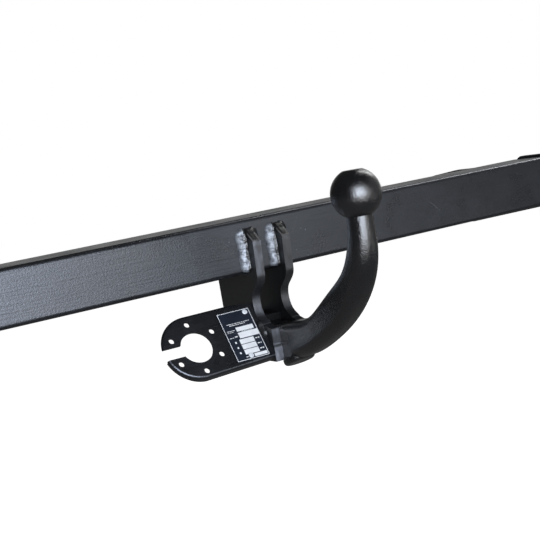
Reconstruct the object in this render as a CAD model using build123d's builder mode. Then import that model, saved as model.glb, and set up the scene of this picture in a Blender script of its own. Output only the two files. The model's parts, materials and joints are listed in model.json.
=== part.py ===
from build123d import *
import os
from math import cos, radians, sin

# Detachable towbar, millimetres. The origin is the centre of the tow ball,
# +X points to the car's right, +Y forward into the car and +Z up.
os.makedirs("parts", exist_ok=True)

# Driving sizes of the cross beam, measured from the ball centre
reach = 192
beam_top = -14
beam_height = 60
beam_depth = 80
beam_wall = 4
beam_corner = 5
beam_half_length = 443

# Ball and neck
ball_radius = 25
ball_flat_height = 23.1
neck_drop = 27
upper_bend = 88.4
upper_turn = 57
root_drop = 150.26
root_straight = 16.4

# Neck sections from the ball to the root: turn of the centre line, width, depth
collar_section = (0, 26.8, 27.8)
collar_shift = 1.5
throat_section = (0, 26.2, 26.2)
upper_sections = ((15, 28.4, 29.2), (34, 30, 32.4), (upper_turn, 31, 36.4))
lower_sections = ((upper_turn, 31, 37.6), (74, 30.4, 36.8), (90, 30, 35.8))
root_section = (90, 30, 35.4)

# Ribs that carry the neck
rib_thickness = 10
rib_gap = 27
rib_end = 26
rib_front = 76
rib_bottom = 157.2
rib_chamfer = 14
arm_drop = 121
seam_drop = 137.6
seam_height = 1.4
seam_depth = 1.5
rib_shoulder = ((9, -16), (18.4, -25), (15.4, -61))
rib_curve = (
    (15.4, -61),
    (12.8, -69),
    (5.6, -76.3),
    (-2.4, -84),
    (-4.8, -93),
    (-3.4, -102),
    (1.4, -109.6),
    (10.5, -115.8),
)

# Tongue and the pocket round it
tongue_height = 27.8
tongue_rise = 17.1
tongue_corner = 1.5
tongue_side_gap = 0.1
tongue_slack = 0.2
tongue_step = 12
root_gap = 0.3
root_cut = 10
scallop_length = 36
scallop_depth = 5
scallops = ((5.6, 11), (-10.6, 15.5))
pocket_depth = 50
pocket_plate = 12
roof_thickness = 8
roof_rear = -14

# Draw bolt M16 from the front
bolt_radius = 8
bolt_fit = 0.05
bolt_reach = 35
bolt_tip_room = 17
bolt_hole_slack = 0.5
bolt_head_radius = 12
bolt_head_height = 14
bolt_socket_flats = 14
bolt_socket_depth = 8
washer_radius = 13
washer_thickness = 3

# Round disc under the neck root, tilted so that its underside faces down and rearward
disc_tilt = 20
disc_radius = 17.6
disc_thickness = 6.8
disc_low_edge = 4
disc_boss_radius = 16
disc_boss_height = 12
disc_place = 33.6
disc_drop = 19
disc_room = 0.4

# Socket plate, measured in its own slanted plane from the type plate's top left corner
plate_tilt = 32.3
plate_corner_x = -69.6
plate_corner_rear = -7.4
plate_corner_drop = 96.8
plate_thickness = 3
plate_lip = 10
plate_lip_end = 5.8
lip_bend = 2.9
socket_centre_u = -36.4
socket_centre_v = -30.5
socket_end_radius = 37.3
socket_hole_radius = 18
socket_slot_height = 13.2
socket_pitch_radius = 28
socket_bolt_radius = 3.25
socket_bolt_count = 6
socket_bolt_turn = 30
plate_end_u = -37.5
plate_end_v = -29.2
plate_shoulder_u = 12
plate_right_top = 4.2
plate_right_low = -63.3
outline_room = 200
type_plate_width = 40
type_plate_height = 60
type_plate_thickness = 0.8
rivet_places = ((33.5, -4.7), (18, -55.7))
rivet_radius = 3.2
rivet_head = 1.3
rivet_shank = 1.5
rivet_fit = 0.05

# Side brackets that bolt to the chassis
bracket_thickness = 8
bracket_overhang = 3.5
bracket_step = 63
bracket_slope_start = 200
bracket_slope_drop = 5.5
bracket_low_start = 175
bracket_arm_top = 5.6
bracket_arm_low = 80.2
bracket_front = 262
bracket_front_corner = 16
bracket_hole_radius = 6.5
bracket_hole_count = 2
bracket_hole_spacing = 100
bracket_hole_first = 118
bracket_hole_drop = 42

# Weld bead sizes
rib_bead = 8.4
bead_step = 5
small_bead = 6
bracket_bead = 3.4
bead_clip = 20


def save(part, name):
    part.label = name
    export_step(part, f"parts/{name}.step")


def rear(distance):
    # Y of a place that lies this far behind the beam's rear face
    return reach - distance


def height(level):
    # Z of a place at this level, where 0 is the beam's top
    return beam_top + level


# Places worked out from the driving sizes
beam_rear_y = rear(0)
beam_front_y = beam_rear_y + beam_depth
beam_bottom = height(-beam_height)
rib_inner = rib_gap / 2
rib_middle = rib_inner + rib_thickness / 2
rib_outer = rib_inner + rib_thickness
root_z = -root_drop
root_front_y = rear(tongue_step + root_gap)
pocket_front_y = rear(-pocket_depth)
plate_front_y = pocket_front_y + pocket_plate
tongue_top = root_z + tongue_rise
tongue_bottom = tongue_top - tongue_height
bolt_z = (tongue_top + tongue_bottom) / 2
disc_plane = Plane(
    origin=(0, rear(disc_place), root_z - disc_drop),
    x_dir=(1, 0, 0),
    z_dir=(0, sin(radians(disc_tilt)), cos(radians(disc_tilt))),
)


# Cross beam: a rectangular hollow section along X
beam_section = Plane(
    origin=(-beam_half_length, beam_rear_y + beam_depth / 2, beam_top - beam_height / 2),
    x_dir=(0, 1, 0),
    z_dir=(1, 0, 0),
)
with BuildPart() as cross_beam:
    with BuildSketch(beam_section):
        RectangleRounded(beam_depth, beam_height, beam_corner)
        RectangleRounded(
            beam_depth - 2 * beam_wall,
            beam_height - 2 * beam_wall,
            beam_corner - beam_wall,
            mode=Mode.SUBTRACT,
        )
    extrude(amount=2 * beam_half_length)
save(cross_beam.part, "cross_beam")


# Ribs: two profiled plates with an S-shaped rear edge and a short arm
rib_top = height(rib_shoulder[0][1])
arm_top = height(-arm_drop)
arm_bottom = height(-rib_bottom)
rib_front_y = rear(-rib_front)
for side, name in ((-1, "rib_left"), (1, "rib_right")):
    inner_face = Plane.YZ.offset(side * rib_inner)
    with BuildPart() as rib:
        with BuildSketch(inner_face):
            with BuildLine():
                Polyline(
                    (beam_rear_y, rib_top),
                    *[(rear(distance), height(level)) for distance, level in rib_shoulder],
                )
                Spline(
                    *[(rear(distance), height(level)) for distance, level in rib_curve],
                    (rear(rib_end), arm_top),
                    tangents=[(0.02, -1), (-1, -0.27)],
                )
                Polyline(
                    (rear(rib_end), arm_top),
                    (rear(rib_end), arm_bottom),
                    (rib_front_y - rib_chamfer, arm_bottom),
                    (rib_front_y, arm_bottom + rib_chamfer),
                    (rib_front_y, beam_bottom),
                    (beam_rear_y, beam_bottom),
                    (beam_rear_y, rib_top),
                )
            make_face()
        extrude(amount=side * rib_thickness)
        # Narrow cut across the arm's end face
        with Locations((0, rear(rib_end), height(-seam_drop))):
            Box(4 * rib_gap, 2 * seam_depth, seam_height, mode=Mode.SUBTRACT)
    save(rib.part, name)


def weld_bead(start, end, radius, corner, size):
    # A row of overlapping lumps, kept only on the open side of the corner
    count = round((Vector(*end) - Vector(*start)).length / bead_step) + 1
    swell = (1.0, 0.93, 1.02, 0.96)
    with BuildPart() as bead:
        for index in range(count):
            share = index / (count - 1)
            place = Vector(*start) + (Vector(*end) - Vector(*start)) * share
            with Locations(place):
                Sphere(radius * swell[index % len(swell)])
        with Locations(corner):
            Box(*size, align=(Align.MIN, Align.MIN, Align.MIN), mode=Mode.INTERSECT)
    return bead.part


def clip_start(face_x, side):
    # Lower X of the kept region beside a face, on the side given by -1 or 1
    return face_x if side > 0 else face_x - bead_clip


# Weld beads that join each rib to the beam's rear face and underside, and cross its top
bead_top = rib_top - 4
bead_low = height(-50)
under_start = beam_rear_y + 12
under_end = rib_front_y - 8
for rib_side, rib_name in ((-1, "left"), (1, "right")):
    for face_side, face_name in ((-1, "a"), (1, "b")):
        face_x = rib_side * rib_middle + face_side * rib_thickness / 2
        upright = weld_bead(
            (face_x, beam_rear_y, bead_top),
            (face_x, beam_rear_y, bead_low),
            rib_bead,
            (clip_start(face_x, face_side), beam_rear_y - bead_clip, bead_low - bead_clip),
            (bead_clip, bead_clip, beam_height + bead_clip),
        )
        save(upright, f"weld_rib_{rib_name}_{face_name}")
    cap_end_x = rib_side * rib_outer
    cap = weld_bead(
        (rib_side * rib_inner, beam_rear_y, bead_top),
        (cap_end_x, beam_rear_y, bead_top),
        rib_bead,
        (min(rib_side * rib_inner, cap_end_x), beam_rear_y - bead_clip, rib_top),
        (rib_thickness, bead_clip, bead_clip),
    )
    save(cap, f"weld_cap_{rib_name}")
    outer_x = rib_side * rib_outer
    under = weld_bead(
        (outer_x, under_start, beam_bottom),
        (outer_x, under_end, beam_bottom),
        small_bead,
        (clip_start(outer_x, rib_side), beam_rear_y, beam_bottom - bead_clip),
        (bead_clip, beam_depth, bead_clip),
    )
    save(under, f"weld_under_{rib_name}")


# Pocket plates between the ribs: back, roof and floor
back_plane = Plane.XY.offset(arm_bottom)
roof_bottom = tongue_top + tongue_slack
floor_top = tongue_bottom - tongue_slack
with BuildPart() as pocket_back:
    with BuildSketch(back_plane):
        with Locations((0, (pocket_front_y + plate_front_y) / 2)):
            Rectangle(rib_gap, pocket_plate)
    extrude(amount=roof_bottom + roof_thickness - arm_bottom)
    with BuildSketch(Plane.XZ.offset(-plate_front_y)):
        with Locations((0, bolt_z)):
            Circle(bolt_radius + bolt_hole_slack)
    extrude(amount=pocket_plate, mode=Mode.SUBTRACT)
save(pocket_back.part, "pocket_back")

with BuildPart() as pocket_roof:
    with BuildSketch(Plane.XY.offset(roof_bottom)):
        with Locations((0, (pocket_front_y + rear(roof_rear)) / 2)):
            Rectangle(rib_gap, pocket_front_y - rear(roof_rear))
    extrude(amount=roof_thickness)
save(pocket_roof.part, "pocket_roof")

with BuildPart() as pocket_floor:
    with BuildSketch(back_plane):
        with Locations((0, (pocket_front_y + rear(tongue_step)) / 2)):
            Rectangle(rib_gap, pocket_front_y - rear(tongue_step))
    extrude(amount=floor_top - arm_bottom)
save(pocket_floor.part, "pocket_floor")


# The neck's centre line is an upper bend, a straight run and a lower bend, which
# ends level at the root. The run and the lower bend are worked out to meet there.
turn_sin = sin(radians(upper_turn))
turn_cos = cos(radians(upper_turn))
bend_end_y = upper_bend * (1 - turn_cos)
bend_end_z = -neck_drop - upper_bend * turn_sin
lower_centre_y = root_front_y - root_straight
gap_y = lower_centre_y - bend_end_y
gap_z = bend_end_z - root_z
lower_bend = (gap_y * turn_cos - gap_z * turn_sin) / (1 - turn_sin)
lower_centre_z = root_z + lower_bend


def neck_plane(y, z, turn):
    # Plane square to the neck's centre line, tilted forward by this turn
    return Plane(
        origin=(0, y, z),
        x_dir=(1, 0, 0),
        z_dir=(0, sin(radians(turn)), -cos(radians(turn))),
    )


def upper_place(turn):
    angle = radians(turn)
    return upper_bend * (1 - cos(angle)), -neck_drop - upper_bend * sin(angle)


def lower_place(turn):
    angle = radians(turn)
    return lower_centre_y - lower_bend * cos(angle), lower_centre_z - lower_bend * sin(angle)


# Ball neck: ball, bent neck that grows towards the root, and the flat-sided tongue
neck_stations = [(collar_shift, -ball_radius / 2, *collar_section)]
neck_stations += [(0, -neck_drop, *throat_section)]
neck_stations += [(*upper_place(section[0]), *section) for section in upper_sections]
neck_stations += [(*lower_place(section[0]), *section) for section in lower_sections]
neck_stations += [(root_front_y, root_z, *root_section)]
with BuildPart() as ball_neck:
    for y, z, turn, width, depth in neck_stations:
        corner = min(width, depth) * (0.49 - 0.16 * turn / 90)
        with BuildSketch(neck_plane(y, z, turn)):
            RectangleRounded(width, depth, corner)
    loft()
    Sphere(ball_radius)
    with Locations((0, 0, ball_flat_height)):
        Cylinder(
            ball_radius,
            ball_radius,
            align=(Align.CENTER, Align.CENTER, Align.MIN),
            mode=Mode.SUBTRACT,
        )
    # Boss for the round disc, and the seat that the disc's rear edge lies in
    with BuildSketch(disc_plane):
        Circle(disc_boss_radius)
    extrude(amount=disc_boss_height)
    with BuildSketch(disc_plane):
        Circle(disc_radius + disc_room)
    extrude(amount=-2 * disc_thickness, mode=Mode.SUBTRACT)
    # Tongue that fills the pocket
    with BuildSketch(Plane.XZ.offset(-pocket_front_y)):
        with Locations((0, bolt_z)):
            RectangleRounded(rib_gap - 2 * tongue_side_gap, tongue_height, tongue_corner)
    extrude(amount=pocket_front_y - root_front_y + 10)
    # Flanks planed flat where the root enters between the ribs
    flat_face = rib_inner - tongue_side_gap
    flat_rear_y = rear(rib_end + 0.6)
    for side in (-1, 1):
        with Locations((side * (flat_face + root_cut / 2), (flat_rear_y + root_front_y) / 2 + 2, root_z)):
            Box(root_cut, root_front_y - flat_rear_y + 4, 2 * root_section[2], mode=Mode.SUBTRACT)
        # Two round-ended scallops run on behind the rib's end, with a ridge between
        for level, tall in scallops:
            with BuildSketch(Plane.YZ.offset(side * flat_face)):
                with Locations((flat_rear_y, root_z + level)):
                    SlotOverall(scallop_length, tall)
            extrude(amount=side * scallop_depth, mode=Mode.SUBTRACT)
    # Bore for the draw bolt
    with BuildSketch(Plane.XZ.offset(-pocket_front_y)):
        with Locations((0, bolt_z)):
            Circle(bolt_radius + bolt_fit)
    extrude(amount=bolt_reach + bolt_tip_room, mode=Mode.SUBTRACT)
save(ball_neck.part, "ball_neck")


# Round disc under the neck root
with BuildPart() as neck_disc:
    with BuildSketch(disc_plane):
        Circle(disc_radius)
    extrude(amount=-disc_thickness)
    low_rim = neck_disc.faces().sort_by(Axis.Z)[0].edges()
    fillet(low_rim, disc_low_edge)
save(neck_disc.part, "neck_disc")


# Draw bolt with its washer
head_start_y = plate_front_y + washer_thickness
with BuildPart() as draw_bolt:
    with BuildSketch(Plane.XZ.offset(-head_start_y)):
        with Locations((0, bolt_z)):
            Circle(bolt_head_radius)
    extrude(amount=-bolt_head_height)
    chamfer(draw_bolt.edges().group_by(Axis.Y)[-1], 1)
    with BuildSketch(Plane.XZ.offset(-head_start_y - bolt_head_height)):
        with Locations((0, bolt_z)):
            RegularPolygon(bolt_socket_flats / 2, 6, major_radius=False)
    extrude(amount=bolt_socket_depth, mode=Mode.SUBTRACT)
    with BuildSketch(Plane.XZ.offset(-head_start_y)):
        with Locations((0, bolt_z)):
            Circle(bolt_radius)
    extrude(amount=washer_thickness + pocket_plate + bolt_reach)
    chamfer(draw_bolt.edges().group_by(Axis.Y)[0], 1.5)
save(draw_bolt.part, "draw_bolt")

with BuildPart() as draw_washer:
    with BuildSketch(Plane.XZ.offset(-plate_front_y)):
        with Locations((0, bolt_z)):
            Circle(washer_radius)
            Circle(bolt_radius + bolt_hole_slack, mode=Mode.SUBTRACT)
    extrude(amount=-washer_thickness)
save(draw_washer.part, "draw_washer")


# Socket plate: slanted plate with a slotted socket hole and a folded lower lip
tilt = radians(plate_tilt)
plate_normal = Vector(0, -cos(tilt), sin(tilt))
plate_plane = Plane(
    origin=(plate_corner_x, rear(plate_corner_rear), height(-plate_corner_drop)),
    x_dir=(1, 0, 0),
    z_dir=plate_normal,
)
plate_right = -rib_outer - plate_corner_x
end_top = plate_end_v + socket_end_radius
end_low = plate_end_v - socket_end_radius
lip_top = socket_centre_v - socket_slot_height / 2 - 1
with BuildSketch() as plate_outline:
    with BuildLine():
        Polyline(
            (plate_end_u, end_low),
            (plate_right, plate_right_low),
            (plate_right, plate_right_top),
            (plate_shoulder_u, end_top + 0.3),
            (plate_end_u, end_top),
        )
        ThreePointArc(
            (plate_end_u, end_top),
            (plate_end_u - socket_end_radius, plate_end_v),
            (plate_end_u, end_low),
        )
    make_face()
with BuildSketch() as lip_outline:
    add(plate_outline.sketch)
    offset(plate_outline.sketch, amount=-plate_thickness, mode=Mode.SUBTRACT)
    with Locations((0, lip_top)):
        Rectangle(outline_room, outline_room, align=(Align.CENTER, Align.MAX), mode=Mode.INTERSECT)
    with Locations((plate_right, 0)):
        Rectangle(
            plate_thickness,
            outline_room,
            align=(Align.MAX, Align.CENTER),
            mode=Mode.SUBTRACT,
        )
type_middle = (type_plate_width / 2, -type_plate_height / 2)
with BuildPart() as socket_plate:
    with BuildSketch(plate_plane):
        add(plate_outline.sketch)
    extrude(amount=-plate_thickness)
    with BuildSketch(plate_plane):
        add(lip_outline.sketch)
    extrude(amount=-plate_lip)
    front_face = socket_plate.faces().sort_by(Axis((0, 0, 0), plate_normal))[-1]
    round_end = front_face.outer_wire().edges().filter_by(GeomType.CIRCLE)
    low_edge = front_face.outer_wire().edges().filter_by(GeomType.LINE).sort_by(Axis.Z)[0]
    fillet(round_end + [low_edge], lip_bend)
    # The lip gets shallower round the plate's left end
    lip_side = Plane(origin=plate_plane.origin, x_dir=plate_plane.x_dir, z_dir=plate_plane.y_dir)
    with BuildSketch(lip_side):
        with BuildLine():
            Polyline(
                (plate_end_u, plate_lip),
                (plate_end_u - socket_end_radius, plate_lip_end),
                (plate_end_u - outline_room, plate_lip_end),
                (plate_end_u - outline_room, outline_room),
                (plate_end_u, outline_room),
                (plate_end_u, plate_lip),
            )
        make_face()
    extrude(amount=outline_room, both=True, mode=Mode.SUBTRACT)
    with BuildSketch(plate_plane):
        with Locations((socket_centre_u, socket_centre_v)):
            Circle(socket_hole_radius)
            Rectangle(outline_room, socket_slot_height, align=(Align.MAX, Align.CENTER))
            with PolarLocations(socket_pitch_radius, socket_bolt_count, start_angle=socket_bolt_turn):
                Circle(socket_bolt_radius)
        with Locations(*rivet_places):
            Circle(rivet_shank + rivet_fit)
    extrude(amount=-plate_thickness, mode=Mode.SUBTRACT)
save(socket_plate.part, "socket_plate")


# Weld between the socket plate's right edge and the left rib, front and back
def plate_bead(plane, first, last, radius, depth):
    with BuildPart() as bead:
        for index in range(round((first - last) / bead_step) + 1):
            place = plane.from_local_coords((plate_right, first - index * bead_step, 0))
            with Locations(place):
                Sphere(radius)
        with BuildSketch(plane):
            with Locations((plate_right, (first + last) / 2)):
                Rectangle(3 * radius, outline_room, align=(Align.MAX, Align.CENTER))
        extrude(amount=depth, mode=Mode.INTERSECT)
    return bead.part


save(plate_bead(plate_plane, -21, -33, 5.9, 20), "weld_socket_a")
back_of_plate = plate_plane.offset(-plate_thickness)
save(plate_bead(back_of_plate, -8, -48, 5, -20), "weld_socket_b")


# Type plate with two rivets
with BuildPart() as type_plate:
    with BuildSketch(plate_plane):
        with Locations(type_middle):
            RectangleRounded(type_plate_width, type_plate_height, 1)
        with Locations(*rivet_places):
            Circle(rivet_shank + rivet_fit, mode=Mode.SUBTRACT)
    extrude(amount=type_plate_thickness)
save(type_plate.part, "type_plate")

with BuildPart() as type_plate_rivets:
    with BuildSketch(plate_plane.offset(type_plate_thickness)):
        with Locations(*rivet_places):
            Circle(rivet_radius)
    extrude(amount=rivet_head)
    fillet(type_plate_rivets.edges().sort_by(Axis((0, 0, 0), plate_normal))[-2:], 0.8)
    with BuildSketch(plate_plane.offset(type_plate_thickness)):
        with Locations(*rivet_places):
            Circle(rivet_shank)
    extrude(amount=-type_plate_thickness - plate_thickness)
save(type_plate_rivets.part, "type_plate_rivets")


# Side brackets: plates across the beam's ends with an arm that bolts to the chassis
bracket_top = height(bracket_overhang)
bracket_rear_y = rear(bracket_overhang)
bracket_front_y = rear(-bracket_front)
arm_ridge = height(-bracket_arm_top)
arm_low = height(-bracket_arm_low)
bracket_holes = [
    (rear(-bracket_hole_first - index * bracket_hole_spacing), height(-bracket_hole_drop))
    for index in range(bracket_hole_count)
]
for side, name in ((-1, "side_bracket_left"), (1, "side_bracket_right")):
    end_plane = Plane.YZ.offset(side * beam_half_length)
    with BuildPart() as bracket:
        with BuildSketch(end_plane) as bracket_outline:
            with BuildLine():
                Polyline(
                    (bracket_rear_y, bracket_top),
                    (rear(-bracket_step), bracket_top),
                    (rear(-bracket_step - 5), bracket_top - 2),
                    (rear(-bracket_step - 12), arm_ridge),
                    (rear(-bracket_slope_start), arm_ridge),
                    (bracket_front_y, arm_ridge - bracket_slope_drop),
                    (bracket_front_y, arm_low),
                    (rear(-bracket_low_start), arm_low),
                    (bracket_rear_y, beam_bottom - 0.6),
                    (bracket_rear_y, bracket_top),
                )
            make_face()
            fillet(bracket_outline.vertices().sort_by(Axis.X)[-2:], bracket_front_corner)
        extrude(amount=side * bracket_thickness)
        with BuildSketch(end_plane):
            with Locations(*bracket_holes):
                Circle(bracket_hole_radius)
        extrude(amount=side * bracket_thickness, mode=Mode.SUBTRACT)
    save(bracket.part, name)
    # Beads along the beam's rear face and along its underside
    end_x = side * beam_half_length
    low_x = clip_start(end_x, -side)
    upright = weld_bead(
        (end_x, beam_rear_y, height(-15)),
        (end_x, beam_rear_y, height(-45)),
        bracket_bead,
        (low_x, beam_rear_y - bead_clip, beam_bottom),
        (bead_clip, bead_clip, beam_height),
    )
    save(upright, f"weld_{name}_rear")
    level = weld_bead(
        (end_x, beam_rear_y + 28, beam_bottom),
        (end_x, beam_rear_y + 68, beam_bottom),
        bracket_bead,
        (low_x, beam_rear_y, beam_bottom - bead_clip),
        (bead_clip, beam_depth, bead_clip),
    )
    save(level, f"weld_{name}_low")
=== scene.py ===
# %% [markdown]
# # A detachable towbar, dressed for the camera
#
# The towbar's real shapes come from its CAD solids, which are loaded as a fixed frame.
# This lesson gives them their finish: satin black coat over steel, lumpy weld beads,
# a type plate with plain print, and a white studio.
# Everything is in metres. The tow ball's centre is the origin, +X is the car's right,
# +Y is forward into the car and +Z is up.

import json
from math import cos, pi, radians, sin, sqrt

import bmesh
import bpy
from mathutils import Matrix, Vector, noise


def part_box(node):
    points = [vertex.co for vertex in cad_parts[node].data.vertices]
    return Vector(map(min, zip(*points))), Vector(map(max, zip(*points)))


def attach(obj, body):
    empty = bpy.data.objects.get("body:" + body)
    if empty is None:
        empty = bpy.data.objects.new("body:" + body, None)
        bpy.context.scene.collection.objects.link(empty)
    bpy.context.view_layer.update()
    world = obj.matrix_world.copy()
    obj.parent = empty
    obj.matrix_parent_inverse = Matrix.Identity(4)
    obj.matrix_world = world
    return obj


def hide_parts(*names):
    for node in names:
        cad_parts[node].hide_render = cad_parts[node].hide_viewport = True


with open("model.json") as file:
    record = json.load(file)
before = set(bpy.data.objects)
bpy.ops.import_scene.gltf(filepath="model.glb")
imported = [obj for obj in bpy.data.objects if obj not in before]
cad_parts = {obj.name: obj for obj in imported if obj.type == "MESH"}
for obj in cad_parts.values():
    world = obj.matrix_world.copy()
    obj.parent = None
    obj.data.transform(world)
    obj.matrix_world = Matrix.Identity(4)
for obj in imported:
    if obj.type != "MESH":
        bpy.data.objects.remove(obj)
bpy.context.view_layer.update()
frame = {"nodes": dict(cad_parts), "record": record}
nodes = frame["nodes"]

# %% [markdown]
# ## Camera
#
# A photographer stood behind the car, to the left of the ball and slightly above it, with
# a long lens and the camera leaning to one side. A camera object could be aimed with a
# constraint, but the lean is easier to keep when its three directions are worked out here.
# They come from the turn, the downward tilt and the lean that make the ball, the beam and
# the type plate fall where the photograph has them.

# %% Place the camera
camera_turn = radians(29.756)
camera_tilt = radians(5.788)
camera_lean = radians(-9.80)
camera_place = Vector((-0.650, -0.949, 0.058))
lens_mm = 80
sensor_mm = 36
nearest_seen = 0.05

level_right = Vector((cos(camera_turn), -sin(camera_turn), 0))
level_up = Vector(
    (sin(camera_turn) * sin(camera_tilt), cos(camera_turn) * sin(camera_tilt), cos(camera_tilt))
)
view_back = level_right.cross(level_up)
view_right = cos(camera_lean) * level_right + sin(camera_lean) * level_up
view_up = -sin(camera_lean) * level_right + cos(camera_lean) * level_up

camera_data = bpy.data.cameras.new("camera")
camera_data.lens = lens_mm
camera_data.sensor_width = sensor_mm
camera_data.clip_start = nearest_seen
camera = bpy.data.objects.new("camera", camera_data)
bpy.context.scene.collection.objects.link(camera)
turned = Matrix((view_right, view_up, view_back)).transposed().to_4x4()
camera.matrix_world = Matrix.Translation(camera_place) @ turned
bpy.context.scene.camera = camera
bpy.context.scene.view_settings.view_transform = "Standard"
print("camera looks along", tuple(round(v, 3) for v in -view_back))

# %% [markdown]
# ## Studio
#
# The white ground of the picture is a colour and not a lamp: the floor and the world show
# white to the camera and in reflections, and give the object only a plain level of light.
# The floor is the ground under a parked car, 38 cm below the ball.

# %% Node helper
def node(tree, kind, inputs=None, **settings):
    """Adds a shader node, sets its options and its input values or links."""
    made = tree.nodes.new(kind)
    for name, value in settings.items():
        setattr(made, name, value)
    for name, value in (inputs or {}).items():
        socket = made.inputs[name]
        if isinstance(value, bpy.types.NodeSocket):
            tree.links.new(value, socket)
        else:
            socket.default_value = value
    return made


def maths(tree, operation, first, second=0.0, third=0.0):
    """One Math node, returned as its output socket."""
    return node(
        tree, "ShaderNodeMath", {0: first, 1: second, 2: third}, operation=operation
    ).outputs[0]


def seen_directly(tree):
    """1 where a camera, mirror or glass ray arrives, 0 for the soft light."""
    path = node(tree, "ShaderNodeLightPath")
    seen = maths(tree, "MAXIMUM", path.outputs["Is Camera Ray"], path.outputs["Is Glossy Ray"])
    return maths(tree, "MAXIMUM", seen, path.outputs["Is Transmission Ray"])


# %% World
world_light = 0.16
world = bpy.data.worlds.new("studio")
bpy.context.scene.world = world
world.use_nodes = True
world_tree = world.node_tree
world_tree.nodes.clear()
sky = maths(world_tree, "MULTIPLY_ADD", seen_directly(world_tree), 1 - world_light, world_light)
glow = node(world_tree, "ShaderNodeBackground", {"Color": (1, 1, 1, 1), "Strength": sky})
node(world_tree, "ShaderNodeOutputWorld", {"Surface": glow.outputs[0]})
print("world: white to the eye, and a light of", world_light, "on the object")

# %% Floor
floor_level = -0.38
floor_radius = 9.0
floor_ahead = 0.2
floor_grey = (0.86, 0.86, 0.86, 1)
floor_glow = 0.86
floor_material = bpy.data.materials.new("floor_white")
floor_material.use_nodes = True
floor_tree = floor_material.node_tree
floor_tree.nodes.clear()
floor_strength = maths(floor_tree, "MULTIPLY", seen_directly(floor_tree), floor_glow)
floor_shader = node(
    floor_tree,
    "ShaderNodeBsdfPrincipled",
    {
        "Base Color": floor_grey,
        "Roughness": 0.9,
        "Specular IOR Level": 0.0,
        "Emission Color": (1, 1, 1, 1),
        "Emission Strength": floor_strength,
    },
)
node(floor_tree, "ShaderNodeOutputMaterial", {"Surface": floor_shader.outputs[0]})

bpy.ops.mesh.primitive_circle_add(
    vertices=96, radius=floor_radius, fill_type="NGON", location=(0, floor_ahead, floor_level)
)
floor = bpy.context.object
floor.name = "floor"
floor.data.materials.append(floor_material)
print("floor", -floor_level, "m under the ball")

# %% [markdown]
# ## Lamps and cards
#
# One wide softbox stands behind the camera, where the broad highlight on the ball and the
# sheen on the beam's left half point to. A long strip above and to the right draws the
# thin light on the ball's upper rim. Black objects in an all-white room look grey, so a
# photographer hangs black flags just outside the picture, and sets small bright cards
# where an edge or a curve should catch some light. More lamps could do that too, but they
# would also light everything else. Each card here is a plain sheet of even brightness that
# only reflections see: it takes no light from the object and throws none on it.

# %% Softboxes
def softbox(name, place, target, width, tall, watts, colour=(1, 1, 1)):
    """A rectangular area lamp that stands at one place and faces another."""
    lamp = bpy.data.lights.new(name, "AREA")
    lamp.shape = "RECTANGLE"
    lamp.size = width
    lamp.size_y = tall
    lamp.energy = watts
    lamp.color = colour
    made = bpy.data.objects.new(name, lamp)
    bpy.context.scene.collection.objects.link(made)
    made.location = place
    aim = Vector(target) - Vector(place)
    made.rotation_euler = aim.to_track_quat("-Z", "Y").to_euler()


cool_white = (0.78, 0.86, 1.0)
softbox("key_softbox", (-0.55, -1.75, 0.22), (0, 0, 0.05), 1.5, 1.16, 47, cool_white)
softbox("rim_strip", (1.35, 0.55, 1.25), (0, 0.05, 0), 0.16, 1.3, 7.5)
print("lamps:", sorted(lamp.name for lamp in bpy.data.lights))

# %% Card maker
def card(name, brightness, centre, first_edge, second_edge):
    """A card of even brightness from its centre and two half edges."""
    made = bpy.data.materials.new(name)
    made.use_nodes = True
    shader = made.node_tree.nodes["Principled BSDF"]
    shader.inputs["Base Color"].default_value = (0, 0, 0, 1)
    shader.inputs["Specular IOR Level"].default_value = 0.0
    shader.inputs["Emission Color"].default_value = (1, 1, 1, 1)
    shader.inputs["Emission Strength"].default_value = brightness
    middle, one, two = Vector(centre), Vector(first_edge), Vector(second_edge)
    corners = [middle - one - two, middle + one - two, middle + one + two, middle - one + two]
    data = bpy.data.meshes.new(name)
    data.from_pydata([tuple(corner) for corner in corners], [], [(0, 1, 2, 3)])
    data.materials.append(made)
    sheet = bpy.data.objects.new(name, data)
    bpy.context.scene.collection.objects.link(sheet)
    sheet.visible_camera = False
    sheet.visible_diffuse = False
    sheet.visible_shadow = False


# %% Dark flags and bright cards
dark_card_level = floor_level + 0.01
bright_card_level = floor_level + 0.02
card("flag_front", 0.05, (-0.6, 2.4, 0.9), (3.2, 0, 0), (0, 0, 1.25))
card("front_glint", 0.42, (1.45, 2.38, 0.35), (1.15, 0, 0), (0, 0, 0.45))
card("flag_left", 0.05, (-2.3, 0.2, 0.9), (0, 2.3, 0), (0, 0, 1.25))
card("flag_right", 0.24, (2.2, -0.6, 0.86), (0.5, 1.7, 0), (0, 0, 1.24))
card("flag_rear", 0.13, (1.75, -2.4, 0.86), (0.95, 0.2, 0), (0, 0, 1.24))
card("flag_above", 0.05, (0.0, -0.1, 2.1), (2.6, 0, 0), (0, 2.6, 0))
card("flag_below", 0.12, (0, 0.3, dark_card_level), (2.6, 0, 0), (0, 2.4, 0))
card("bounce_card", 3.0, (-0.40, -1.20, bright_card_level), (0.7, 0, 0), (0, 0.45, 0))
card("fill_near", 2.45, (0.44, -1.75, 0.10), (0.24, 0, 0), (0, 0, 0.47))
card("fill_far", 1.45, (0.98, -1.75, -0.03), (0.30, 0, 0), (0, 0, 0.34))
card("floor_glint", 0.9, (0.85, -0.72, bright_card_level), (0.3, 0, 0), (0, 0.3, 0))
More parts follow.
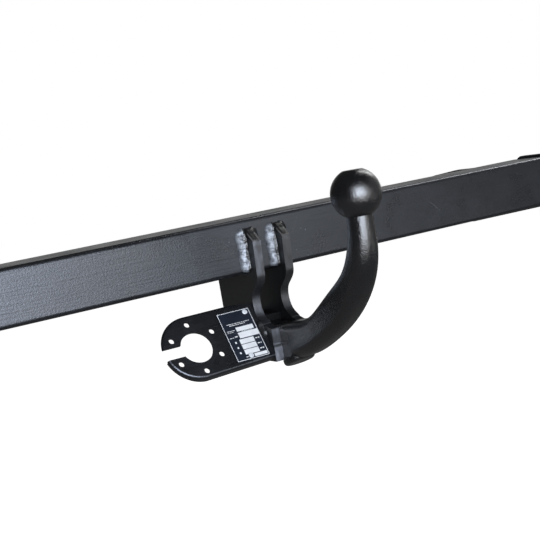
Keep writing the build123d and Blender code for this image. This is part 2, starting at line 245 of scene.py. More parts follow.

# %% [markdown]
# ## Finish groups
#
# Cast, rolled and welded steel share the same small faults under the coat, so each fault
# is one node group with its own knobs: the grain of the coat, the wear on sharp edges and
# fine scratches. Every black coat below places them with its own values.

# %% Group builder
def new_group(name, sockets_in, sockets_out):
    """A node group with named inputs and outputs; returns it with its two end nodes."""
    group = bpy.data.node_groups.new(name, "ShaderNodeTree")
    for label, kind, value in sockets_in:
        socket = group.interface.new_socket(label, in_out="INPUT", socket_type=kind)
        socket.default_value = value
    for label, kind in sockets_out:
        group.interface.new_socket(label, in_out="OUTPUT", socket_type=kind)
    start = group.nodes.new("NodeGroupInput")
    end = group.nodes.new("NodeGroupOutput")
    return group, start, end


FLOAT = "NodeSocketFloat"

# %% Coat grain: orange peel, long streaks and dull patches
coat_grain, start, end = new_group(
    "coat_grain",
    [("Peel Scale", FLOAT, 900.0), ("Patch Scale", FLOAT, 18.0), ("Streak", FLOAT, 0.0)],
    [("Height", FLOAT), ("Patches", FLOAT)],
)
along_beam_squash = (0.035, 1.0, 1.0)
place = node(coat_grain, "ShaderNodeTexCoord").outputs["Object"]
peel = node(
    coat_grain,
    "ShaderNodeTexNoise",
    {"Vector": place, "Scale": start.outputs["Peel Scale"], "Detail": 3.0, "Roughness": 0.55},
).outputs["Fac"]
stretched = node(
    coat_grain, "ShaderNodeVectorMath", {0: place, 1: along_beam_squash}, operation="MULTIPLY"
).outputs[0]
streaks = node(
    coat_grain, "ShaderNodeTexNoise", {"Vector": stretched, "Scale": 420.0, "Detail": 4.0}
).outputs["Fac"]
streak_height = maths(coat_grain, "MULTIPLY", streaks, start.outputs["Streak"])
patches = node(
    coat_grain,
    "ShaderNodeTexNoise",
    {
        "Vector": place,
        "Scale": start.outputs["Patch Scale"],
        "Detail": 6.0,
        "Roughness": 0.62,
        "Distortion": 0.4,
    },
).outputs["Fac"]
coat_grain.links.new(maths(coat_grain, "ADD", peel, streak_height), end.inputs["Height"])
coat_grain.links.new(patches, end.inputs["Patches"])

# %% Edge wear: where a rounded normal leaves the true one, broken up by noise
edge_wear, start, end = new_group(
    "edge_wear",
    [("Width", FLOAT, 0.0008), ("Amount", FLOAT, 0.5)],
    [("Mask", FLOAT)],
)
wear_gain = 6.0
wear_gaps = 0.42
round_normal = node(
    edge_wear, "ShaderNodeBevel", {"Radius": start.outputs["Width"]}, samples=6
).outputs[0]
true_normal = node(edge_wear, "ShaderNodeNewGeometry").outputs["Normal"]
agree = node(
    edge_wear, "ShaderNodeVectorMath", {0: round_normal, 1: true_normal}, operation="DOT_PRODUCT"
).outputs["Value"]
place = node(edge_wear, "ShaderNodeTexCoord").outputs["Object"]
broken = node(
    edge_wear, "ShaderNodeTexNoise", {"Vector": place, "Scale": 260.0, "Detail": 5.0}
).outputs["Fac"]
edge = maths(edge_wear, "MULTIPLY", maths(edge_wear, "SUBTRACT", 1.0, agree), wear_gain)
worn = maths(edge_wear, "MULTIPLY", edge, maths(edge_wear, "SUBTRACT", broken, wear_gaps))
scaled = maths(edge_wear, "MULTIPLY", worn, start.outputs["Amount"])
limited = node(edge_wear, "ShaderNodeClamp", {"Value": scaled})
edge_wear.links.new(limited.outputs[0], end.inputs["Mask"])

# %% Fine scratches: thin bent lines from a stretched, distorted cell pattern
scratches, start, end = new_group(
    "scratches",
    [("Scale", FLOAT, 60.0), ("Amount", FLOAT, 0.5)],
    [("Mask", FLOAT)],
)
scratch_width = 0.004
scratch_gaps = 0.62
place = node(scratches, "ShaderNodeTexCoord").outputs["Object"]
leaning = node(
    scratches,
    "ShaderNodeMapping",
    {"Vector": place, "Rotation": (0.3, 0.7, 0.2), "Scale": (1.0, 0.25, 0.3)},
).outputs[0]
lines = node(
    scratches,
    "ShaderNodeTexVoronoi",
    {"Vector": leaning, "Scale": start.outputs["Scale"]},
    feature="DISTANCE_TO_EDGE",
).outputs["Distance"]
thin = maths(scratches, "LESS_THAN", lines, scratch_width)
sparse = node(scratches, "ShaderNodeTexNoise", {"Vector": place, "Scale": 35.0}).outputs["Fac"]
kept = maths(scratches, "GREATER_THAN", sparse, scratch_gaps)
both = maths(scratches, "MULTIPLY", thin, kept)
scratches.links.new(
    maths(scratches, "MULTIPLY", both, start.outputs["Amount"]), end.inputs["Mask"]
)
print("groups:", sorted(g.name for g in bpy.data.node_groups))

# %% [markdown]
# ## Black coat
#
# The beam, ribs and plates carry a thin satin black coat over rolled steel, and the neck
# the same over a forging. One maker builds both, because only the numbers differ: how dark
# and how smooth the coat is, and how strongly the metal's own surface shows through.

# %% Small shader helpers
def place_group(tree, group, **values):
    """Adds a node group and sets its knobs; an underscore in a name stands for a space."""
    made = tree.nodes.new("ShaderNodeGroup")
    made.node_tree = group
    for name, value in values.items():
        made.inputs[name.replace("_", " ")].default_value = value
    return made


def blend_colour(tree, share, first, second):
    """Mixes two colours, each a socket or a triple, and returns the colour socket."""
    mix = tree.nodes.new("ShaderNodeMix")
    mix.data_type = "RGBA"
    for index, value in ((0, share), (6, first), (7, second)):
        if isinstance(value, bpy.types.NodeSocket):
            tree.links.new(value, mix.inputs[index])
        else:
            mix.inputs[index].default_value = value if index == 0 else (*value, 1)
    return mix.outputs[2]


def spread(tree, value, low, high, start=0.3, end=0.7):
    """Maps a value from start..end to low..high, and holds it there outside of them."""
    settings = {"Value": value, "From Min": start, "From Max": end, "To Min": low, "To Max": high}
    return node(tree, "ShaderNodeMapRange", settings).outputs[0]


# %% Coat maker
worn_edge_width = 0.0007
scratch_scale = 55.0
dark_patch, light_patch = 0.75, 1.3


def black_coat(name, colour, worn_colour, roughness, ior, grain, depth, wear, marks):
    """A satin coat over steel; grain holds the peel scale, patch scale and streak share."""
    made = bpy.data.materials.new(name)
    made.use_nodes = True
    tree = made.node_tree
    shader = tree.nodes["Principled BSDF"]
    peel_scale, patch_scale, streak = grain
    grained = place_group(
        tree, coat_grain, Peel_Scale=peel_scale, Patch_Scale=patch_scale, Streak=streak
    )
    edges = place_group(tree, edge_wear, Width=worn_edge_width, Amount=wear)
    lines = place_group(tree, scratches, Scale=scratch_scale, Amount=marks)
    worn = maths(tree, "MAXIMUM", edges.outputs["Mask"], lines.outputs["Mask"])
    darker = tuple(dark_patch * c for c in colour)
    lighter = tuple(light_patch * c for c in colour)
    coat = blend_colour(tree, grained.outputs["Patches"], darker, lighter)
    colour_out = blend_colour(tree, worn, coat, worn_colour)
    dull = spread(tree, grained.outputs["Patches"], roughness - 0.05, roughness + 0.08)
    bump = node(
        tree,
        "ShaderNodeBump",
        {"Height": grained.outputs["Height"], "Strength": 1.0, "Distance": depth},
    )
    tree.links.new(colour_out, shader.inputs["Base Color"])
    tree.links.new(dull, shader.inputs["Roughness"])
    tree.links.new(bump.outputs[0], shader.inputs["Normal"])
    shader.inputs["IOR"].default_value = ior
    return made


# %% The black finishes of the frame, the ribs and the neck, and a darker copy for the pocket that paints the shade inside it
cool_mirror = (0.85, 0.90, 1.0, 1)
frame_black = black_coat(
    "frame_black", (0.0045, 0.0047, 0.0055), (0.07, 0.073, 0.08), roughness=0.29, ior=1.90,
    grain=(520.0, 22.0, 1.2), depth=0.00018, wear=0.35, marks=0.3,
)
frame_black.node_tree.nodes["Principled BSDF"].inputs["Specular Tint"].default_value = cool_mirror
rib_black = black_coat(
    "rib_black", (0.0050, 0.0052, 0.0060), (0.14, 0.145, 0.155), roughness=0.38, ior=1.85,
    grain=(600.0, 30.0, 0.0), depth=0.00008, wear=0.6, marks=0.2,
)
neck_black = black_coat(
    "neck_black", (0.0048, 0.0048, 0.0054), (0.07, 0.07, 0.075), roughness=0.19, ior=1.88,
    grain=(540.0, 30.0, 0.0), depth=0.00040, wear=0.2, marks=0.1,
)
# The pocket plates get a darker, rougher copy of the coat: painted shade for the inside of the
# pocket.
pocket_shaded_black = black_coat(
    "pocket_shaded_black", (0.0030, 0.0030, 0.0033), (0.05, 0.05, 0.055), roughness=0.60, ior=1.30,
    grain=(600.0, 30.0, 0.0), depth=0.00005, wear=0.0, marks=0.0,
)

# %% Paint over weld metal
weld_black = black_coat(
    "painted_weld", (0.006, 0.006, 0.0065), (0.12, 0.12, 0.125), roughness=0.30, ior=1.70,
    grain=(500.0, 60.0, 0.0), depth=0.00015, wear=0.3, marks=0.0,
)
weld_cap_black = black_coat(
    "painted_weld_cap", (0.004, 0.004, 0.0043), (0.12, 0.12, 0.125), roughness=0.44, ior=1.60,
    grain=(500.0, 60.0, 0.0), depth=0.00010, wear=0.0, marks=0.0,
)
black_coats = (frame_black, rib_black, neck_black, pocket_shaded_black, weld_black, weld_cap_black)
print("black coats:", [finish.name for finish in black_coats])

# %% [markdown]
# ## Scuffed and lit rib faces
#
# The ribs' narrow faces are lighter grey in bands. Part of that grey is coat rubbed through
# to metal, and part is painted light: a painted highlight along the top edge and on the
# up-facing bends, and painted shade under the bends. Two fine dark seams cross them near the
# foot. A painted mask would need an image. A colour ramp over the height places the bands
# instead, and a noise stretched along the rib breaks them up.

# %% Narrow faces, with a coat that is thin in clouds
rib_tree = rib_black.node_tree
rib_shader = rib_tree.nodes["Principled BSDF"]
coat_colour = rib_shader.inputs["Base Color"].links[0].from_socket
coordinates = node(rib_tree, "ShaderNodeTexCoord")
local_normal = coordinates.outputs["Normal"]
sideways = node(rib_tree, "ShaderNodeSeparateXYZ", {"Vector": local_normal}).outputs["X"]
narrow_face = maths(rib_tree, "LESS_THAN", maths(rib_tree, "ABSOLUTE", sideways), 0.6)
along_rib_squash = (1.0, 1.0, 0.35)
place = coordinates.outputs["Object"]
upright = node(
    rib_tree, "ShaderNodeVectorMath", {0: place, 1: along_rib_squash}, operation="MULTIPLY"
).outputs[0]
cloud = node(
    rib_tree, "ShaderNodeTexNoise", {"Vector": upright, "Scale": 170.0, "Detail": 5.0}
).outputs["Fac"]
thin_coat = spread(rib_tree, cloud, 0.35, 1.0, 0.38, 0.62)

# %% Scuffed and lit bands: heights on the rib, and the share of grey that shows there
# The bright bands at the top edge and on the up-facing bends are painted highlight, and the dark
# stretches under the bends are painted shade. The thin-coat cloud and the two dark seams are the
# faces' own.
scuff_and_light_bands = (
    (-0.1712, 0.70), (-0.1640, 0.95), (-0.1558, 1.0), (-0.1551, 0.0), (-0.1531, 0.0),
    (-0.1524, 0.60), (-0.1512, 0.60), (-0.1506, 0.10), (-0.1440, 0.15), (-0.1400, 0.62),
    (-0.1370, 0.70), (-0.1350, 0.08), (-0.1230, 0.09), (-0.1180, 0.60), (-0.1040, 0.28),
    (-0.0990, 0.05), (-0.0790, 0.07), (-0.0740, 0.48), (-0.0450, 0.50), (-0.0430, 0.95),
    (-0.0395, 0.95), (-0.0385, 0.05),
)
scuff_and_light_low, scuff_and_light_high = scuff_and_light_bands[0][0], -0.0300
split_place = node(rib_tree, "ShaderNodeSeparateXYZ", {"Vector": place})
scaled_height = spread(rib_tree, split_place.outputs["Z"], 0.0, 1.0, scuff_and_light_low, scuff_and_light_high)
scuff_and_light_ramp = node(rib_tree, "ShaderNodeValToRGB", {"Fac": scaled_height})
ramp = scuff_and_light_ramp.color_ramp
while len(ramp.elements) < len(scuff_and_light_bands):
    ramp.elements.new(0.5)
for element, (level, amount) in zip(ramp.elements, scuff_and_light_bands):
    element.position = (level - scuff_and_light_low) / (scuff_and_light_high - scuff_and_light_low)
    element.color = (amount, amount, amount, 1)
print("scuffed bands from", len(scuff_and_light_bands), "heights")

# %% Grey on the narrow faces, rubbed metal and painted light, less of it on the right rib
rubbed_and_lit_grey = (0.225, 0.230, 0.255)
right_rib_share = 0.28
rib_share = spread(rib_tree, split_place.outputs["X"], 1.0, right_rib_share, -0.01, 0.01)
scuffed_and_lit = maths(rib_tree, "MULTIPLY", scuff_and_light_ramp.outputs["Color"], thin_coat)
scuffed_and_lit = maths(rib_tree, "MULTIPLY", scuffed_and_lit, rib_share)
scuffed_and_lit = maths(rib_tree, "MULTIPLY", scuffed_and_lit, narrow_face)
rubbed_and_lit_colour = blend_colour(rib_tree, scuffed_and_lit, coat_colour, rubbed_and_lit_grey)
rib_tree.links.new(rubbed_and_lit_colour, rib_shader.inputs["Base Color"])

# %% [markdown]
# ## Bare metals and the type plate
#
# The beads on the ribs' left faces caught no paint and stay silvery, with dark film in
# their hollows. The bolt is zinc plated, the rivets are aluminium with painted shade round
# their rims, and the type plate is a dark blue printed sheet. One maker gives all the metals: a
# noise decides where the metal is clean and where a darker film lies.

# %% Metal maker
def metal(name, light, dark, roughness, scale, depth, contrast=(0.35, 0.6), shine=0.95):
    """Bare metal with darker film where the noise is low; shine is its share of mirror light."""
    made = bpy.data.materials.new(name)
    made.use_nodes = True
    tree = made.node_tree
    shader = tree.nodes["Principled BSDF"]
    place = node(tree, "ShaderNodeTexCoord").outputs["Object"]
    cloud = node(
        tree,
        "ShaderNodeTexNoise",
        {"Vector": place, "Scale": scale, "Detail": 6.0, "Roughness": 0.65},
    ).outputs["Fac"]
    bare = spread(tree, cloud, 0.0, 1.0, *contrast)
    tree.links.new(blend_colour(tree, bare, dark, light), shader.inputs["Base Color"])
    rough = spread(tree, bare, roughness + 0.15, roughness, 0.0, 1.0)
    tree.links.new(rough, shader.inputs["Roughness"])
    tree.links.new(spread(tree, bare, 0.3, shine, 0.0, 1.0), shader.inputs["Metallic"])
    bump = node(
        tree, "ShaderNodeBump", {"Height": cloud, "Strength": 1.0, "Distance": depth}
    )
    tree.links.new(bump.outputs[0], shader.inputs["Normal"])
    return made


# %% The bare metals
weld_silver = metal(
    "weld_metal", (0.35, 0.37, 0.40), (0.07, 0.073, 0.08), roughness=0.52, scale=115.0,
    depth=0.0003, contrast=(0.36, 0.56), shine=0.75,
)
zinc = metal(
    "zinc_steel", (0.62, 0.63, 0.65), (0.35, 0.35, 0.36), roughness=0.30, scale=160.0,
    depth=0.00003,
)
rivet_metal = metal(
    "rivets", (0.90, 0.91, 0.92), (0.74, 0.75, 0.76), roughness=0.34, scale=300.0,
    depth=0.00002, shine=0.25,
)
chip_grey = metal(
    "chip_grey", (0.22, 0.23, 0.25), (0.08, 0.08, 0.085), roughness=0.50, scale=600.0,
    depth=0.00002,
)
print("metals:", [finish.name for finish in (weld_silver, zinc, rivet_metal, chip_grey)])

# %% Painted shade round the rivet heads, where their faces turn away from the slanted plate
plate_tilt = radians(32.3)
plate_normal = Vector((0, -cos(plate_tilt), sin(plate_tilt)))
rim_shade_colour = (0.06, 0.065, 0.075)
rivet_tree = rivet_metal.node_tree
rivet_shader = rivet_tree.nodes["Principled BSDF"]
rivet_own_colour = rivet_shader.inputs["Base Color"].links[0].from_socket
rivet_normal = node(rivet_tree, "ShaderNodeTexCoord").outputs["Normal"]
facing_out = node(
    rivet_tree, "ShaderNodeVectorMath", {0: rivet_normal, 1: tuple(plate_normal)},
    operation="DOT_PRODUCT",
).outputs["Value"]
# Painted shade: the rivet's colour darkens where its face turns away from the plate's normal.
rim_shade = spread(rivet_tree, facing_out, 1.0, 0.0, 0.50, 0.76)
rim_shaded_colour = blend_colour(rivet_tree, rim_shade, rivet_own_colour, rim_shade_colour)
rivet_tree.links.new(rim_shaded_colour, rivet_shader.inputs["Base Color"])

# %% The type plate's sheet and its print
plate_blue = black_coat(
    "type_plate", (0.012, 0.016, 0.026), (0.2, 0.21, 0.22), roughness=0.34, ior=1.45,
    grain=(900.0, 40.0, 0.0), depth=0.00001, wear=0.2, marks=0.3,
)
field_white = black_coat(
    "plate_print", (0.80, 0.79, 0.77), (0.5, 0.5, 0.5), roughness=0.50, ior=1.45,
    grain=(900.0, 60.0, 0.0), depth=0.00001, wear=0.0, marks=0.3,
)

# %% Put each finish on its CAD nodes
finish_of_slot = {
    "frame_black": frame_black,
    "neck_black": neck_black,
    "painted_weld": weld_black,
    "weld_metal": weld_silver,
    "zinc_steel": zinc,
    "type_plate": plate_blue,
    "rivets": rivet_metal,
}
cut_plates = ("rib_left", "rib_right")
pocket_plates = ("pocket_back", "pocket_floor", "pocket_roof")
for subpart in frame["record"]["subparts"]:
    solid = nodes[subpart["node"]]
    solid.data.materials.clear()
    finish = finish_of_slot[subpart["material_slot"]]
    if subpart["node"] in cut_plates:
        finish = rib_black
    elif subpart["node"] in pocket_plates:
        finish = pocket_shaded_black
    solid.data.materials.append(finish)
print("finishes on", len(nodes), "nodes")

# %% [markdown]
# ## Softened edges
#
# Sawn and cut plates never have knife edges, and the thin highlight on such an edge is
# what makes it read as thick steel. A Bevel modifier adds that radius to the solids.

# %% Bevels
edge_angle = radians(35)


def soften(name, radius):
    """Rounds a node's sharp edges, and leaves its mesh as it is."""
    bevel = nodes[name].modifiers.new("soft_edge", "BEVEL")
    bevel.width = radius
    bevel.segments = 3
    bevel.limit_method = "ANGLE"
    bevel.angle_limit = edge_angle
    bevel.harden_normals = True
    bevel.use_clamp_overlap = True


thin_plates = ("side_bracket_left", "side_bracket_right", "pocket_roof")
for name in cut_plates:
    soften(name, 0.0011)
for name in thin_plates:
    soften(name, 0.0006)
print("softened:", cut_plates + thin_plates)

# %% [markdown]
# ## Pieces made here
#
# Every piece below is built as a mesh, gets a finish and rides on a body of the frame.
# One helper does that for all of them.

# %% Piece helper
def finish_piece(name, mesh, finishes, replaces=(), body="carrier", smooth=True):
    """Turns a bmesh into a piece of the object."""
    bmesh.ops.recalc_face_normals(mesh, faces=mesh.faces)
    data = bpy.data.meshes.new(name)
    mesh.to_mesh(data)
    mesh.free()
    if smooth:
        data.shade_smooth()
    for finish in finishes:
        data.materials.append(finish)
    piece = bpy.data.objects.new(name, data)
    bpy.context.scene.collection.objects.link(piece)
    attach(piece, body)
    if replaces:
        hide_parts(*replaces)


def wobble(x, y, z, seed):
    """A smooth chance value between about -1 and 1; each seed has its own pattern."""
    return noise.noise(Vector((x, y, z)) + Vector((seed * 7.3, seed * 3.1, seed * 1.7)))


# %% [markdown]
# ## Weld beads
#
# A bead is metal that was laid drop by drop, so its surface is a row of overlapping ripples
# on a wavering rounded fillet. Boolean unions of spheres look like pearls; sweeping one
# wavering fan of points along the joint gives the ripples and stays one clean mesh.

# %% Bead maker
ripple_pitch = 0.0030
row_pitch = 0.0004
bead_fan = 22
waver_rate, lump_rate, grain_rate = 75, 190, 900


def fillet(leg_a, leg_b, crown=0.86, spokes=9):
    """Outline of a fillet bead: pairs of angle from its first side and length."""
    pairs = []
    for index in range(spokes):
        angle = index / (spokes - 1) * pi / 2
        oval = 1 / sqrt((cos(angle) / leg_a) ** 2 + (sin(angle) / leg_b) ** 2)
        pairs.append((angle, oval * (1 - (1 - crown) * sin(2 * angle))))
    return pairs


def spoke_at(outline, share):
    """Angle and length at this share of the outline, between its pairs."""
    angle = outline[0][0] + share * (outline[-1][0] - outline[0][0])
    for (low, start), (high, stop) in zip(outline, outline[1:]):
        if angle <= high + 1e-9:
            part = (angle - low) / (high - low)
            return angle, start + (stop - start) * part
    return outline[-1]


# %% Rings of points along a bead
def bead_rings(mesh, path, sides, outline, seed, lumps, ends):
    """Rows of points across the bead; ends holds the lengths over which it rounds off."""
    start, stop = Vector(path[0]), Vector(path[1])
    length = (stop - start).length
    along = (stop - start).normalized()
    side_a, side_b = Vector(sides[0]), Vector(sides[1])
    rows = max(24, int(length / row_pitch))
    rings = []
    for row in range(rows + 1):
        travel = row / rows * length
        from_end = min(travel / ends[0], (length - travel) / ends[1])
        end_round = sqrt(max(0.0, 1 - (1 - min(1.0, from_end)) ** 2))
        centre = start + along * travel
        phase = pi * travel / ripple_pitch + 1.2 * wobble(travel * 200, 0, 0, seed)
        waver = 0.20 * lumps * wobble(travel * waver_rate, 0.3, 0, seed)
        ring = [mesh.verts.new(centre)]
        for step in range(bead_fan + 1):
            angle, reach = spoke_at(outline, step / bead_fan)
            ripple = 0.022 * lumps * abs(sin(phase + 1.1 * sin(2 * angle)))
            lump = 0.15 * lumps * wobble(travel * lump_rate, angle * 1.5 + reach * 150, 1.0, seed)
            fine = 0.02 * wobble(travel * grain_rate, angle * 5.0, 2.0, seed)
            out = reach * end_round * (0.98 + ripple + waver + lump + fine)
            spoke = cos(angle) * side_a + sin(angle) * side_b
            ring.append(mesh.verts.new(centre + spoke * out))
        rings.append(ring)
    return rings


# %% A bead from its rings
def bead(
    name, path, sides, outline, seed, finishes, replaces,
    lumps=1.0, bare=0.0, ends=(0.006, 0.006),
):
    """A bead along a straight joint; bare is the share of its width left without paint."""
    mesh = bmesh.new()
    rings = bead_rings(mesh, path, sides, outline, seed, lumps, ends)
    for row, (lower, upper) in enumerate(zip(rings, rings[1:])):
        border = bare * (1 + 0.35 * wobble(row * 0.05, 0.5, 0, seed + 4))
        for step in range(bead_fan + 2):
            following = (step + 1) % (bead_fan + 2)
            face = mesh.faces.new((lower[step], lower[following], upper[following], upper[step]))
            painted = step / bead_fan > border
            face.material_index = 1 if painted and len(finishes) > 1 else 0
    bmesh.ops.remove_doubles(mesh, verts=mesh.verts, dist=1e-6)
    finish_piece(name, mesh, finishes, replaces)


# %% Beads on both faces of a rib: bare on the left face, painted on the right one
left, right, rear, up, down = (-1, 0, 0), (1, 0, 0), (0, -1, 0), (0, 0, 1), (0, 0, -1)
sink = 0.0004
bead_above = 0.002


def rib_beads(rib, seed):
    rib_low, rib_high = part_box(f"rib_{rib}")
    for face, x, outward in (("a", rib_low.x, left), ("b", rib_high.x, right)):
        bead_low, bead_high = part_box(f"weld_rib_{rib}_{face}")
        y = bead_high.y + sink
        inner_x = x - outward[0] * sink
        path = ((inner_x, y, bead_low.z), (inner_x, y, bead_high.z + bead_above))
        bare_side = face == "a"
        bead(
            f"bead_rib_{rib}_{face}", path, (outward, rear),
            fillet(0.0104, 0.0062) if bare_side else fillet(0.0086, 0.0074), seed,
            (weld_silver, weld_black) if bare_side else (weld_black,),
            [f"weld_rib_{rib}_{face}"], bare=0.70, ends=(0.004, 0.010),
        )


# %% Painted metal over the top of a rib, on an outline of turns and reaches in millimetres
cap_turns = (0, 30, 60, 80, 90, 95, 100, 105, 108, 110, 113, 115.5)
cap_reaches = (5.6, 6.6, 8.4, 10.0, 10.8, 12.0, 13.4, 15.4, 16.9, 17.9, 19.7, 21.0)
cap_outline = [(radians(turn), reach / 1000) for turn, reach in zip(cap_turns, cap_reaches)]
cap_over_left, cap_over_right = 0.0012, 0.0010


def cap_bead(rib, seed):
    rib_low, rib_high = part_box(f"rib_{rib}")
    cap_low, cap_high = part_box(f"weld_cap_{rib}")
    path = (
        (rib_low.x - cap_over_left, cap_high.y + sink, cap_low.z - sink),
        (rib_high.x + cap_over_right, cap_high.y + sink, cap_low.z - sink),
    )
    bead(
        f"bead_cap_{rib}", path, (up, rear), cap_outline, seed, (weld_cap_black,),
        [f"weld_cap_{rib}"], lumps=0.35, ends=(0.0035, 0.0035),
    )


# %% Beads between the ribs and the beam's underside, and the calls for both ribs
def under_bead(rib, seed):
    under_low, under_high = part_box(f"weld_under_{rib}")
    side, x = (left, under_high.x) if rib == "left" else (right, under_low.x)
    path = ((x, under_low.y, under_high.z), (x, under_high.y, under_high.z))
    bead(
        f"bead_under_{rib}", path, (side, down), fillet(0.0050, 0.0036), seed,
        (weld_black,), [f"weld_under_{rib}"], lumps=0.7,
    )


for rib, seed in (("left", 3), ("right", 9)):
    rib_beads(rib, seed)
    cap_bead(rib, seed + 2)
    under_bead(rib, seed + 3)

# %% Beads on the chassis brackets
bracket_fillet = fillet(0.0036, 0.0036)
for end, inward, seed in (("left", right, 21), ("right", left, 31)):
    rear_name, low_name = f"weld_side_bracket_{end}_rear", f"weld_side_bracket_{end}_low"
    rear_low, rear_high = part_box(rear_name)
    flat_low, flat_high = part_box(low_name)
    rear_x = rear_low.x if end == "left" else rear_high.x
    low_x = flat_low.x if end == "left" else flat_high.x
    rear_path = ((rear_x, rear_high.y, rear_low.z), (rear_x, rear_high.y, rear_high.z))
    low_path = ((low_x, flat_low.y, flat_high.z), (low_x, flat_high.y, flat_high.z))
    bead(
        f"bead_bracket_{end}_rear", rear_path, (inward, rear), bracket_fillet, seed,
        (weld_black,), [rear_name],
    )
    bead(
        f"bead_bracket_{end}_low", low_path, (inward, down), bracket_fillet, seed + 1,
        (weld_black,), [low_name],
    )

# %% [markdown]
# ## Spatter and chips
#
# Welding throws small drops that stick to the steel round the joint, and a used towbar has
# chips and a scratch in its coat. Both are little irregular domes, laid on the surface of
# a node at the point nearest to a chosen place.

# %% Drop maker
def surface_at(node_name, place):
    """The nearest point on a node's surface and its outward direction, in the row frame."""
    solid = nodes[node_name]
    inverse = solid.matrix_world.inverted()
    point, normal = solid.closest_point_on_mesh(inverse @ Vector(place))[1:3]
    return solid.matrix_world @ point, (solid.matrix_world.to_3x3() @ normal).normalized()


def add_drop(mesh, node_name, place, radius, tall, seed):
    """An uneven dome with its rim just under the surface of a node."""
    point, normal = surface_at(node_name, place)
    across = normal.orthogonal().normalized()
    other = normal.cross(across)
    rim, rows = 12, 4
    sunk = 0.00005
    pole = mesh.verts.new(point + normal * tall)
    rings = []
    for row in range(1, rows + 1):
        bend = row / rows * pi / 2
        ring = []
        for step in range(rim):
            turn = 2 * pi * step / rim
            wave = 1 + 0.25 * wobble(cos(turn) * 1.4, sin(turn) * 1.4, row * 0.2, seed)
            flat = (across * cos(turn) + other * sin(turn)) * radius * sin(bend) * wave
            lift = normal * (tall * cos(bend) - sunk)
            ring.append(mesh.verts.new(point + flat + lift))
        rings.append(ring)
    for step in range(rim):
        following = (step + 1) % rim
        mesh.faces.new((pole, rings[0][step], rings[0][following]))
        for inner, outer in zip(rings, rings[1:]):
            mesh.faces.new((inner[step], outer[step], outer[following], inner[following]))
    mesh.faces.new(rings[-1])


# %% Weld spatter on the beam: five larger drops, and small ones strewn round the ribs
beam_rear_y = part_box("cross_beam")[0].y
drop_places = (
    (-0.0130, -0.0258), (0.0220, -0.0314), (0.0562, -0.0397), (0.0539, -0.0687), (-0.0420, -0.036),
)
small_drops = 16
spatter = bmesh.new()
for index, (x, z) in enumerate(drop_places):
    add_drop(spatter, "cross_beam", (x, beam_rear_y, z), 0.0007, 0.0005, 40 + index)
for index in range(small_drops):
    x = -0.034 + 0.075 * abs(wobble(index * 2.3, 0.1, 0.4, 5)) * 2
    z = -0.028 - 0.042 * abs(wobble(0.2, index * 1.9, 0.7, 6)) * 2
    size = 0.0003 + 0.0003 * abs(wobble(index * 3.1, 2.2, 0.1, 7))
    add_drop(spatter, "cross_beam", (x, beam_rear_y, z), size, 0.6 * size, 60 + index)
finish_piece("weld_spatter", spatter, (weld_silver,))
print("spatter drops:", len(drop_places) + small_drops)

# %% Chips in the neck's coat
chip_places = ((-0.0020, 0.020, -0.074), (-0.0010, 0.022, -0.078), (0.001, 0.045, -0.104))
chip_sizes = (0.0008, 0.0005, 0.0006)
chip_height = 0.00012
chips = bmesh.new()
for index, (place, size) in enumerate(zip(chip_places, chip_sizes)):
    add_drop(chips, "ball_neck", place, size, chip_height, 80 + index)
finish_piece("neck_chips", chips, (chip_grey,), body="neck")
print("chips:", len(chip_places))

# %% One scratch on the beam, as a row of flat chips that run into each other
scratch_from, scratch_to = Vector((0.2352, 0, -0.0395)), Vector((0.2475, 0, -0.0510))
scratch_drops = 16
scratch_height = 0.00008
scratch = bmesh.new()
for index in range(scratch_drops):
    share = index / (scratch_drops - 1)
    place = scratch_from.lerp(scratch_to, share)
    place.y = beam_rear_y
    place.z += 0.0006 * wobble(share * 5, 0, 0, 12)
    size = 0.0004 + 0.0005 * abs(wobble(share * 7, 0.5, 0, 13))
    add_drop(scratch, "cross_beam", place, size, scratch_height, 90 + index)
finish_piece("beam_scratch", scratch, (chip_grey,))
print("scratch of", round((scratch_to - scratch_from).length * 1000), "mm")

# %% [markdown]
# ## Type plate
#
# The plate is a dark sheet with a pale border, blank fields and rows of short plain bars.
# A picture could be laid on the plate, but print is a film, so each patch is a thin raised
# sheet on the slanted face. The two painted beads beside the plate follow the same slant
# and are made here as well.

# %% The plate's corner and directions
plate_thickness = 0.0008
plate_low, plate_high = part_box("type_plate")
plate_up = Vector((0, sin(plate_tilt), cos(plate_tilt)))
corner_y = plate_high.y - plate_thickness * cos(plate_tilt)
plate_corner = Vector((plate_low.x, corner_y, plate_high.z))
plate_width = plate_high.x - plate_low.x
plate_height = 0.060


def on_plate(s, t, lift):
    """A point at these shares of the plate's width and height from its top left corner."""
    flat = Vector((s * plate_width, 0, 0)) - plate_up * (t * plate_height)
    return plate_corner + flat + plate_normal * lift


print("type plate", round(plate_width * 1000), "x", round(plate_height * 1000), "mm")

# %% Beads in front of the socket plate and behind it, along the left rib
socket_plate_thickness = 0.003
rib_share_of_plate = (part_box("rib_left")[0].x - plate_low.x) / plate_width


def socket_bead(name, facing, first, last):
    """A bead beside the type plate; facing is 1 in front of the socket plate and -1 behind."""
    face_lift = 0.0 if facing > 0 else -plate_thickness - socket_plate_thickness
    lift = face_lift - facing * plate_thickness
    path = [on_plate(rib_share_of_plate, share, lift) for share in (first, last)]
    bead(
        f"bead_socket_{name}", path, (left, tuple(facing * plate_normal)),
        fillet(0.0052, 0.0046), 51 + facing, (weld_cap_black,),
        [f"weld_socket_{name}"], lumps=0.6,
    )


socket_bead("a", 1, 0.30, 0.66)
socket_bead("b", -1, 0.13, 0.80)

# %% Patches of print
ink_film = 0.00006


def ink_patch(mesh, s0, t0, s1, t1):
    """A thin rectangular sheet of print."""
    corners = ((s0, t0), (s1, t0), (s1, t1), (s0, t1))
    low = [mesh.verts.new(on_plate(s, t, 0)) for s, t in corners]
    top = [mesh.verts.new(on_plate(s, t, ink_film)) for s, t in corners]
    mesh.faces.new(top)
    for step in range(4):
        following = (step + 1) % 4
        mesh.faces.new((low[step], low[following], top[following], top[step]))


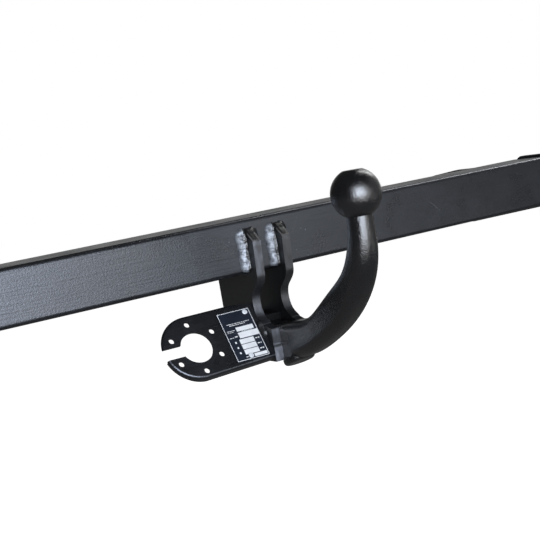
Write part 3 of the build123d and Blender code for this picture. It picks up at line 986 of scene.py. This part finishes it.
# %% Border and blank fields: left, top, right and bottom as shares of the plate
print_mesh = bmesh.new()
line = 0.010
inset_s, inset_t = 0.012, 0.010
border = (
    (inset_s, inset_t, 1 - inset_s, inset_t + line),
    (inset_s, 1 - inset_t - line, 1 - inset_s, 1 - inset_t),
    (inset_s, inset_t + line, inset_s + 1.5 * line, 1 - inset_t - line),
    (1 - inset_s - 1.5 * line, inset_t + line, 1 - inset_s, 1 - inset_t - line),
)
field_pitch = 0.107
field_rows = range(3)
fields = [(0.37, 0.335, 0.90, 0.42), (0.37, 0.445, 0.97, 0.56), (0.56, 0.905, 0.95, 0.965)]
fields += [(0.32, 0.58 + field_pitch * row, 0.76, 0.675 + field_pitch * row) for row in field_rows]
for patch in (*border, *fields):
    ink_patch(print_mesh, *patch)
print("blank fields:", len(fields))

# %% Plain bars of small print: left, top, width and height of each row, and its seed
bar_gap = 0.018


def small_print(mesh, s, t, width, tall, seed):
    """A row of short plain bars of uneven length."""
    start = s
    count = 0
    while start < s + width:
        bar = 0.03 + 0.05 * abs(wobble(count * 1.7, 0, 0, seed)) * 2
        ink_patch(mesh, start, t, min(start + bar, s + width), t + tall)
        start += bar + bar_gap
        count += 1


print_lines = (
    (0.16, 0.245, 0.70, 0.012, 3), (0.22, 0.275, 0.50, 0.012, 5), (0.08, 0.375, 0.24, 0.012, 7),
    (0.08, 0.405, 0.20, 0.010, 8), (0.50, 0.428, 0.34, 0.010, 9), (0.07, 0.515, 0.14, 0.012, 11),
    (0.24, 0.500, 0.08, 0.022, 12), (0.30, 0.930, 0.16, 0.012, 13),
)
for print_line in print_lines:
    small_print(print_mesh, *print_line)
for row in field_rows:
    t = 0.605 + field_pitch * row
    ink_patch(print_mesh, 0.17, t, 0.215, t + 0.035)
    small_print(print_mesh, 0.80, t + 0.008, 0.12, 0.020, 15 + row)
finish_piece("plate_print", print_mesh, (field_white,), smooth=False)
print("rows of bars:", len(print_lines) + len(field_rows))

# %% [markdown]
# ## Rivets
#
# Two pulled rivets hold the plate. Their heads are low domes with a small hollow where the
# stem broke off. A half section turned round an axis gives such a shape, so the rings are
# laid out from a short list of radii and heights.

# %% Turn the two heads: radii and heights, and places from the plate's left and top edge
rivet_profile = (
    (0.0, 0.00075), (0.0006, 0.00070), (0.0008, 0.00115), (0.0012, 0.00135), (0.0020, 0.00120),
    (0.0027, 0.00080), (0.0031, 0.00035), (0.00325, 0.0),
)
rivet_steps = 32
rivet_places = ((0.0335, 0.0047), (0.0180, 0.0557))
rivets_mesh = bmesh.new()
for across_plate, down_plate in rivet_places:
    foot = on_plate(across_plate / plate_width, down_plate / plate_height, 0)
    rings = []
    for radius, lift in rivet_profile[1:]:
        ring = []
        for step in range(rivet_steps):
            turn = 2 * pi * step / rivet_steps
            outward = Vector((cos(turn), 0, 0)) + plate_up * sin(turn)
            ring.append(rivets_mesh.verts.new(foot + outward * radius + plate_normal * lift))
        rings.append(ring)
    pole = rivets_mesh.verts.new(foot + plate_normal * rivet_profile[0][1])
    for step in range(rivet_steps):
        following = (step + 1) % rivet_steps
        rivets_mesh.faces.new((pole, rings[0][step], rings[0][following]))
        for inner, outer in zip(rings, rings[1:]):
            rivets_mesh.faces.new((inner[step], outer[step], outer[following], inner[following]))
finish_piece("rivet_heads", rivets_mesh, (rivet_metal,))
print("rivets:", len(rivet_places))
